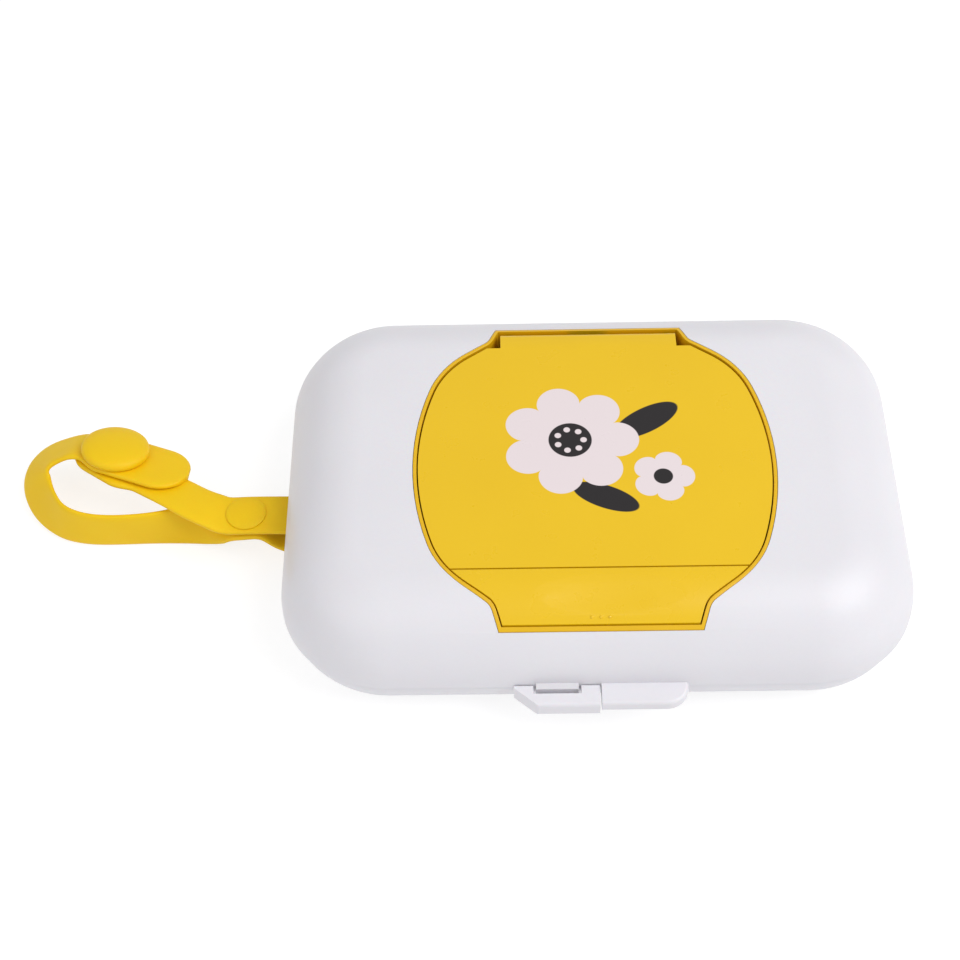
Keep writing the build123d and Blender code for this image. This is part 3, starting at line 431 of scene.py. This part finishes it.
def lid_material():
    """The lid's gloss yellow with the flower print."""
    material = moulded_material(
        "lid_gloss", LID_COLOUR, LID_SHADE, gloss=(0.24, 0.34), skin=(2600.0, 0.04), mottle=30.0,
        Coat_Weight=0.15, Coat_Roughness=0.25,
    )
    tree, group, shader = finish_nodes(material)
    feed(tree, lid_print(tree, group.outputs["Colour"]), shader.inputs["Base Color"])
    return material


def button_material():
    """The button's gloss yellow with the finger dish worked into its surface.

    The dish is a shallow oval bowl: its height is the sum of the squares of the distances from its
    middle, each over its half-size, up to one at its rim.
    """
    material = moulded_material(
        "button_gloss", LID_COLOUR, LID_SHADE, gloss=(0.24, 0.32), skin=(2600.0, 0.04), mottle=30.0,
        Coat_Weight=0.2, Coat_Roughness=0.2,
    )
    tree, group, shader = finish_nodes(material)
    x, y, _ = object_place(tree)
    along = (x - DISH_PLACE[0]) / DISH_HALF[0]
    across = (y - DISH_PLACE[1]) / DISH_HALF[1]
    bowl = (along * along + across * across).op("MINIMUM", 1.0)
    dish = bump(tree, bowl, DISH_DEPTH)
    feed(tree, group.outputs["Normal"], dish.inputs["Normal"])
    feed(tree, dish.outputs["Normal"], shader.inputs["Normal"])
    return material


def make_materials():
    """Every finish of the case, by its slot in the record, and the button's own."""
    return {
        "lid_plastic": lid_material(),
        "release_button": button_material(),
        "shell_plastic": moulded_material(
            "shell_satin", SHELL_COLOUR, SHELL_SHADE, gloss=(0.34, 0.44), skin=(3500.0, 0.05), mottle=22.0,
            Subsurface_Weight=0.06, Subsurface_Scale=2.0 * MM,
        ),
        "yellow_plastic": moulded_material(
            "frame_satin", FRAME_COLOUR, FRAME_SHADE, gloss=(0.32, 0.42), skin=(3000.0, 0.05), mottle=40.0,
        ),
        "strap_rubber": moulded_material(
            "strap_matte", STRAP_COLOUR, STRAP_SHADE, gloss=(0.46, 0.58), skin=(1800.0, 0.10), mottle=35.0,
            Subsurface_Weight=0.12, Subsurface_Scale=1.5 * MM, Specular_IOR_Level=0.3,
        ),
        "seal_silicone": moulded_material(
            "silicone", SILICONE_COLOUR, SILICONE_SHADE, gloss=(0.42, 0.55), skin=(2000.0, 0.06),
            mottle=50.0, Subsurface_Weight=0.25, Subsurface_Scale=2.0 * MM,
        ),
        "steel": moulded_material(
            "steel", STEEL_COLOUR, STEEL_SHADE, gloss=(0.22, 0.34), skin=(4000.0, 0.08), mottle=120.0,
            Metallic=1.0,
        ),
    }


MATERIALS = make_materials()


def dress_node(node, finish, edge):
    """Give a CAD node its finish and smooth faces, and soften its edges where it has an edge width."""
    mesh = node.data
    mesh.materials.clear()
    mesh.materials.append(finish)
    mesh.polygons.foreach_set("use_smooth", np.ones(len(mesh.polygons), bool))
    weld = node.modifiers.new("weld", "WELD")
    weld.merge_threshold = WELD_REACH
    if edge:
        soften = node.modifiers.new("soften", "BEVEL")
        soften.width = edge
        soften.segments = SOFTENED_STEPS
        soften.limit_method = "ANGLE"
        soften.angle_limit = math.radians(SOFTENED_ANGLE)
        even = node.modifiers.new("even_normals", "WEIGHTED_NORMAL")
        even.mode = "FACE_AREA"
        even.weight = FLAT_FACE_WEIGHT
        even.keep_sharp = True


def dress_frame():
    """Finishes for every CAD node: its own where it has one, otherwise its slot's."""
    slots = {part["node"]: part["material_slot"] for part in frame["record"]["subparts"]}
    for name, node in frame["nodes"].items():
        finish = MATERIALS.get(name, MATERIALS[slots[name]])
        dress_node(node, finish, SOFTENED.get(name, 0) * MM)


def closed_tube(rings, ends):
    """Points and faces of a tube through rings of points, drawn to a point at each end.

    The rings are an array of rows, columns and places. Their columns turn anticlockwise about the
    way that the rows run, so that the faces point outwards. Each quad joins a column and the next
    one in two neighbouring rows, and each end is a fan of triangles round its end point.
    """
    rows, columns = rings.shape[:2]
    points = np.concatenate([rings.reshape(-1, 3), ends])
    column = np.arange(columns)
    after = (column + 1) % columns
    start = columns * np.arange(rows - 1)[:, None]
    corners = [start + column, start + after, start + columns + after, start + columns + column]
    quads = np.stack(corners, axis=-1).reshape(-1, 4)
    first_end = np.full(columns, rows * columns)
    last_end = first_end + 1
    final = (rows - 1) * columns
    near = np.stack([first_end, after, column], axis=-1)
    far = np.stack([final + column, final + after, last_end], axis=-1)
    return points, quads.tolist() + near.tolist() + far.tolist()


def tube_piece(name, rings, ends, slot, body):
    """A closed tube as a smooth mesh object of one finish, riding on a body."""
    points, faces = closed_tube(rings, ends)
    mesh = bpy.data.meshes.new(name)
    mesh.from_pydata(points.tolist(), [], faces)
    mesh.polygons.foreach_set("use_smooth", np.ones(len(mesh.polygons), bool))
    mesh.update()
    piece = bpy.data.objects.new(name, mesh)
    bpy.context.scene.collection.objects.link(piece)
    mesh.materials.append(MATERIALS[slot])
    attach(piece, body)
    return piece


def off_case(reach, side, rise):
    """A place from its distance out of the case's end, its place in Y and its height over the bar."""
    return Vector((CASE_END - reach, side, BAR_HEIGHT + rise)) * MM


def leaning(lean, heading=90.0):
    """A width direction tilted up from level by lean, its plan direction given by heading."""
    rise, turn = math.radians(lean), math.radians(heading)
    return Vector((math.cos(rise) * math.cos(turn), math.cos(rise) * math.sin(turn), math.sin(rise)))


def in_closure_face(heading):
    """A direction across the closure snap's face: its heading in plan, less its part along the snap."""
    turn = math.radians(heading)
    plan = Vector((math.cos(turn), math.sin(turn), 0))
    return (plan - CLOSURE_OUT * plan.dot(CLOSURE_OUT)).normalized()


def route_rows(rows):
    """Places and width directions from rows of the strap's route."""
    return [(off_case(*row[:3]), leaning(*row[3:])) for row in rows]


def bar_loop():
    """Half a circle round the anchor bar, from its top by its inner side to its underside."""
    route = []
    for step in range(180 // BAR_LOOP_STEP + 1):
        angle = math.radians(90 - step * BAR_LOOP_STEP)
        swing = Vector((math.cos(angle), 0, math.sin(angle))) * (BAR_LOOP_RADIUS * MM)
        route.append((off_case(*BAR_PLACE) + swing, leaning(0)))
    return route


def strap_route():
    """Places along the strap's middle, each with its width direction.

    They run from the under end through the closure and keeper snaps, round the bar, back under the
    keeper snap and round the hand loop to the over end.
    """
    under, over = in_closure_face(UNDER_HEADING), in_closure_face(OVER_HEADING)
    over_middle = off_case(*CLOSURE_PLACE)
    under_middle = over_middle - CLOSURE_OUT * (CLOSURE_PITCH * MM)
    keeper = off_case(*KEEPER_PLACE)
    under_keeper = keeper - Vector((0, 0, KEEPER_PITCH * MM))
    flat = Vector((KEEPER_FLAT * MM, 0, 0))
    approach = Vector((KEEPER_APPROACH * MM, 0, 0))
    upper = [keeper - approach, keeper, keeper + flat]
    lower = [under_keeper + flat, under_keeper, under_keeper - flat]
    return [
        *[(under_middle + under * distance * MM, CLOSURE_OUT.cross(under)) for distance in UNDER_RUN],
        *route_rows(UPPER_LEG),
        *[(place, leaning(0)) for place in upper],
        *bar_loop(),
        *route_rows(BAR_EXIT),
        *[(place, leaning(lean)) for place, lean in zip(lower, KEEPER_LEANS)],
        *route_rows(HAND_LOOP),
        *[(over_middle + over * distance * MM, over.cross(CLOSURE_OUT)) for distance in OVER_RUN],
    ]


def blended(first, last, t, start, end):
    """The straight blend of two rows that is the first at the start and the last at the end."""
    return (end - t) / (end - start) * first + (t - start) / (end - start) * last


def smooth_through(points, steps):
    """Rows of points on a centripetal spline through the given rows, that many to each stretch.

    Each point's knot lies past the one before by the root of the distance between their places.
    A stretch blends its four nearest points in pairs, blends those blends in pairs, and blends the
    last two between its own two knots. Past each end of the route, one more point goes straight on.
    """
    ends = np.vstack([2 * points[0] - points[1], points, 2 * points[-1] - points[-2]])
    knots = np.concatenate([[0], np.cumsum(np.linalg.norm(np.diff(ends[:, :3], axis=0), axis=1) ** 0.5)])
    rows = []
    for i in range(1, len(ends) - 2):
        p0, p1, p2, p3 = ends[i - 1:i + 3]
        t0, t1, t2, t3 = knots[i - 1:i + 3]
        t = np.linspace(t1, t2, steps, endpoint=False)[:, None]
        first = blended(p0, p1, t, t0, t1)
        middle = blended(p1, p2, t, t1, t2)
        last = blended(p2, p3, t, t2, t3)
        early = blended(first, middle, t, t0, t2)
        late = blended(middle, last, t, t1, t3)
        rows.append(blended(early, late, t, t1, t2))
    return np.vstack([*rows, points[-1:]])


def evened(rows, passes):
    """Rows averaged that many times: half of each and a quarter of each neighbour, the ends kept."""
    rows = rows.copy()
    for _ in range(passes):
        rows[1:-1] = (rows[:-2] + 2 * rows[1:-1] + rows[2:]) / 4
    return rows


def unit(rows):
    """Rows scaled to a length of one."""
    return rows / np.linalg.norm(rows, axis=1)[:, None]


def signed_power(values, power):
    """The size of each value to a power, with the value's sign."""
    return np.sign(values) * np.abs(values) ** power


def pad_half_width(reach, span):
    """The strap's half-width at a distance from its end, where a pad with a straight span begins.

    The pad's is the root of its radius squared less the square of the distance past the span, so
    both of its ends are round. Past the span it is a soft maximum with the plain strap's, which is
    the logarithm of the sum of the two exponentials.
    """
    last = PAD_RADIUS + span
    past = np.maximum(PAD_RADIUS - reach, reach - last).clip(0)
    pad = np.sqrt((PAD_RADIUS**2 - past**2).clip(0))
    soft = np.logaddexp(pad / SHOULDER_SOFTNESS, STRAP_WIDTH / 2 / SHOULDER_SOFTNESS) * SHOULDER_SOFTNESS
    return np.where(reach < last, pad, soft.clip(max=PAD_RADIUS))


def make_strap():
    """The strap as one ribbon: a flat section carried along a smooth route, widened at its ends.

    At each angle round the section, the reach across it is the half-width times a low power of the
    cosine and the reach through it the half-thickness times a power of the sine, each with its
    sign, which makes a flat strip with round edges. Its thickness grows with its width, up to the
    pads' swell.
    """
    route = np.array([[*place, *width] for place, width in strap_route()])
    rows = smooth_through(route, ROUTE_STEPS)
    place = evened(rows[:, :3], PLACE_PASSES)
    tangent = unit(evened(np.gradient(place, axis=0), TURN_PASSES))
    width = evened(rows[:, 3:], TURN_PASSES)
    width = unit(width - tangent * (width * tangent).sum(1)[:, None])
    face = np.cross(tangent, width)
    travel = np.concatenate([[0], np.cumsum(np.linalg.norm(np.diff(place, axis=0), axis=1))])
    length = travel[-1]
    under_half = pad_half_width(travel, UNDER_PAD_SPAN)
    over_half = pad_half_width(length - travel, OVER_PAD_SPAN)
    half = np.where(travel < length / 2, under_half, over_half).clip(TIP_HALF_WIDTH)
    widening = ((half - STRAP_WIDTH / 2) / (PAD_RADIUS - STRAP_WIDTH / 2)).clip(0, 1)
    thick = STRAP_THICKNESS + PAD_SWELL * widening
    angle = np.linspace(0, 2 * math.pi, STRAP_COLUMNS, endpoint=False)
    across = half[:, None] * signed_power(np.cos(angle), ACROSS_POWER)
    through = thick[:, None] / 2 * signed_power(np.sin(angle), THROUGH_POWER)
    rings = place[:, None] + width[:, None] * across[:, :, None] + face[:, None] * through[:, :, None]
    strap = tube_piece("hand_strap", rings, place[[0, -1]], "strap_rubber", "strap")
    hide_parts("strap")


def make_cap():
    """The closure snap's cap and stud: a profile of radius and height turned about the snap's axis.

    A point is the seat's middle, plus its radius times the direction at its angle, plus its height
    times the snap's direction.
    """
    profile = np.array(CAP_PROFILE) * MM
    angle = np.linspace(0, 2 * math.pi, CAP_COLUMNS, endpoint=False)
    out = np.array(CLOSURE_OUT)
    across = np.array(in_closure_face(OVER_HEADING))
    aside = np.cross(out, across)
    seat = np.array(off_case(*CLOSURE_PLACE)) + out * CAP_SEAT
    turned = np.cos(angle)[:, None] * across + np.sin(angle)[:, None] * aside
    radius, height = profile[1:-1].T
    rings = seat + radius[:, None, None] * turned + height[:, None, None] * out
    ends = seat + profile[[0, -1], 1, None] * out
    cap = tube_piece("closure_cap", rings, ends, "strap_rubber", "strap")
    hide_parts("closure_snap_cap")


def floor_material():
    """A matt white floor. Seen by the camera it glows faintly, so it is white but keeps a shadow."""
    material = bpy.data.materials.new("floor_white")
    material.use_nodes = True
    tree = material.node_tree
    tree.nodes.clear()
    result = tree.nodes.new("ShaderNodeOutputMaterial")
    matt = tree.nodes.new("ShaderNodeBsdfDiffuse")
    matt.inputs["Color"].default_value = linear(FLOOR_COLOUR)
    shaded = tree.nodes.new("ShaderNodeBsdfDiffuse")
    shaded.inputs["Color"].default_value = linear([FLOOR_SHADOW] * 3)
    glow = tree.nodes.new("ShaderNodeEmission")
    glow.inputs["Strength"].default_value = FLOOR_GLOW
    seen = tree.nodes.new("ShaderNodeAddShader")
    feed(tree, shaded.outputs[0], seen.inputs[0])
    feed(tree, glow.outputs[0], seen.inputs[1])
    path = tree.nodes.new("ShaderNodeLightPath")
    rays = ("Is Camera Ray", "Is Glossy Ray", "Is Transmission Ray")
    mixed = tree.nodes.new("ShaderNodeMixShader")
    feed(tree, any_of([Wire(tree, path.outputs[ray]) for ray in rays]), mixed.inputs[0])
    feed(tree, matt.outputs[0], mixed.inputs[1])
    feed(tree, seen.outputs[0], mixed.inputs[2])
    feed(tree, mixed.outputs[0], result.inputs["Surface"])
    return material


def make_floor():
    """A plain pale floor, far larger than the view."""
    half = FLOOR_HALF
    corners = [(-half, -half), (half, -half), (half, half), (-half, half)]
    mesh = bpy.data.meshes.new("floor")
    mesh.from_pydata([(x, y, -FLOOR_DROP) for x, y in corners], [], [(0, 1, 2, 3)])
    floor = bpy.data.objects.new("floor", mesh)
    bpy.context.scene.collection.objects.link(floor)
    mesh.materials.append(floor_material())


def area_light(name, place, power):
    """A soft square lamp that faces the origin."""
    lamp = bpy.data.lights.new(name, "AREA")
    lamp.size = LAMP_SIZE
    lamp.energy = power
    holder = bpy.data.objects.new(name, lamp)
    holder.location = place
    holder.rotation_euler = (-Vector(place)).to_track_quat("-Z", "Y").to_euler()
    bpy.context.scene.collection.objects.link(holder)


def make_light():
    """A bright room, a large lamp over the right-hand side and a weak one opposite."""
    world = bpy.data.worlds.new("studio")
    bpy.context.scene.world = world
    world.use_nodes = True
    background = world.node_tree.nodes["Background"]
    background.inputs["Color"].default_value = (1, 1, 1, 1)
    background.inputs["Strength"].default_value = WORLD_LEVEL
    area_light("key", KEY_PLACE, KEY_POWER)
    area_light("fill", FILL_PLACE, FILL_POWER)


def make_camera():
    """The camera at the photograph's viewpoint."""
    data = bpy.data.cameras.new("camera")
    data.sensor_width = CAMERA_SENSOR
    data.lens = CAMERA_LENS
    data.clip_start = CAMERA_NEAR
    camera = bpy.data.objects.new("camera", data)
    right = CAMERA_FORWARD.cross(CAMERA_UP)
    axes = Matrix((right, CAMERA_UP, -CAMERA_FORWARD)).transposed()
    camera.matrix_world = Matrix.Translation(CAMERA_PLACE) @ axes.to_4x4()
    bpy.context.scene.collection.objects.link(camera)
    bpy.context.scene.camera = camera


dress_frame()
make_strap()
make_cap()
make_floor()
make_light()
make_camera()
bpy.context.scene.view_settings.view_transform = "Standard"
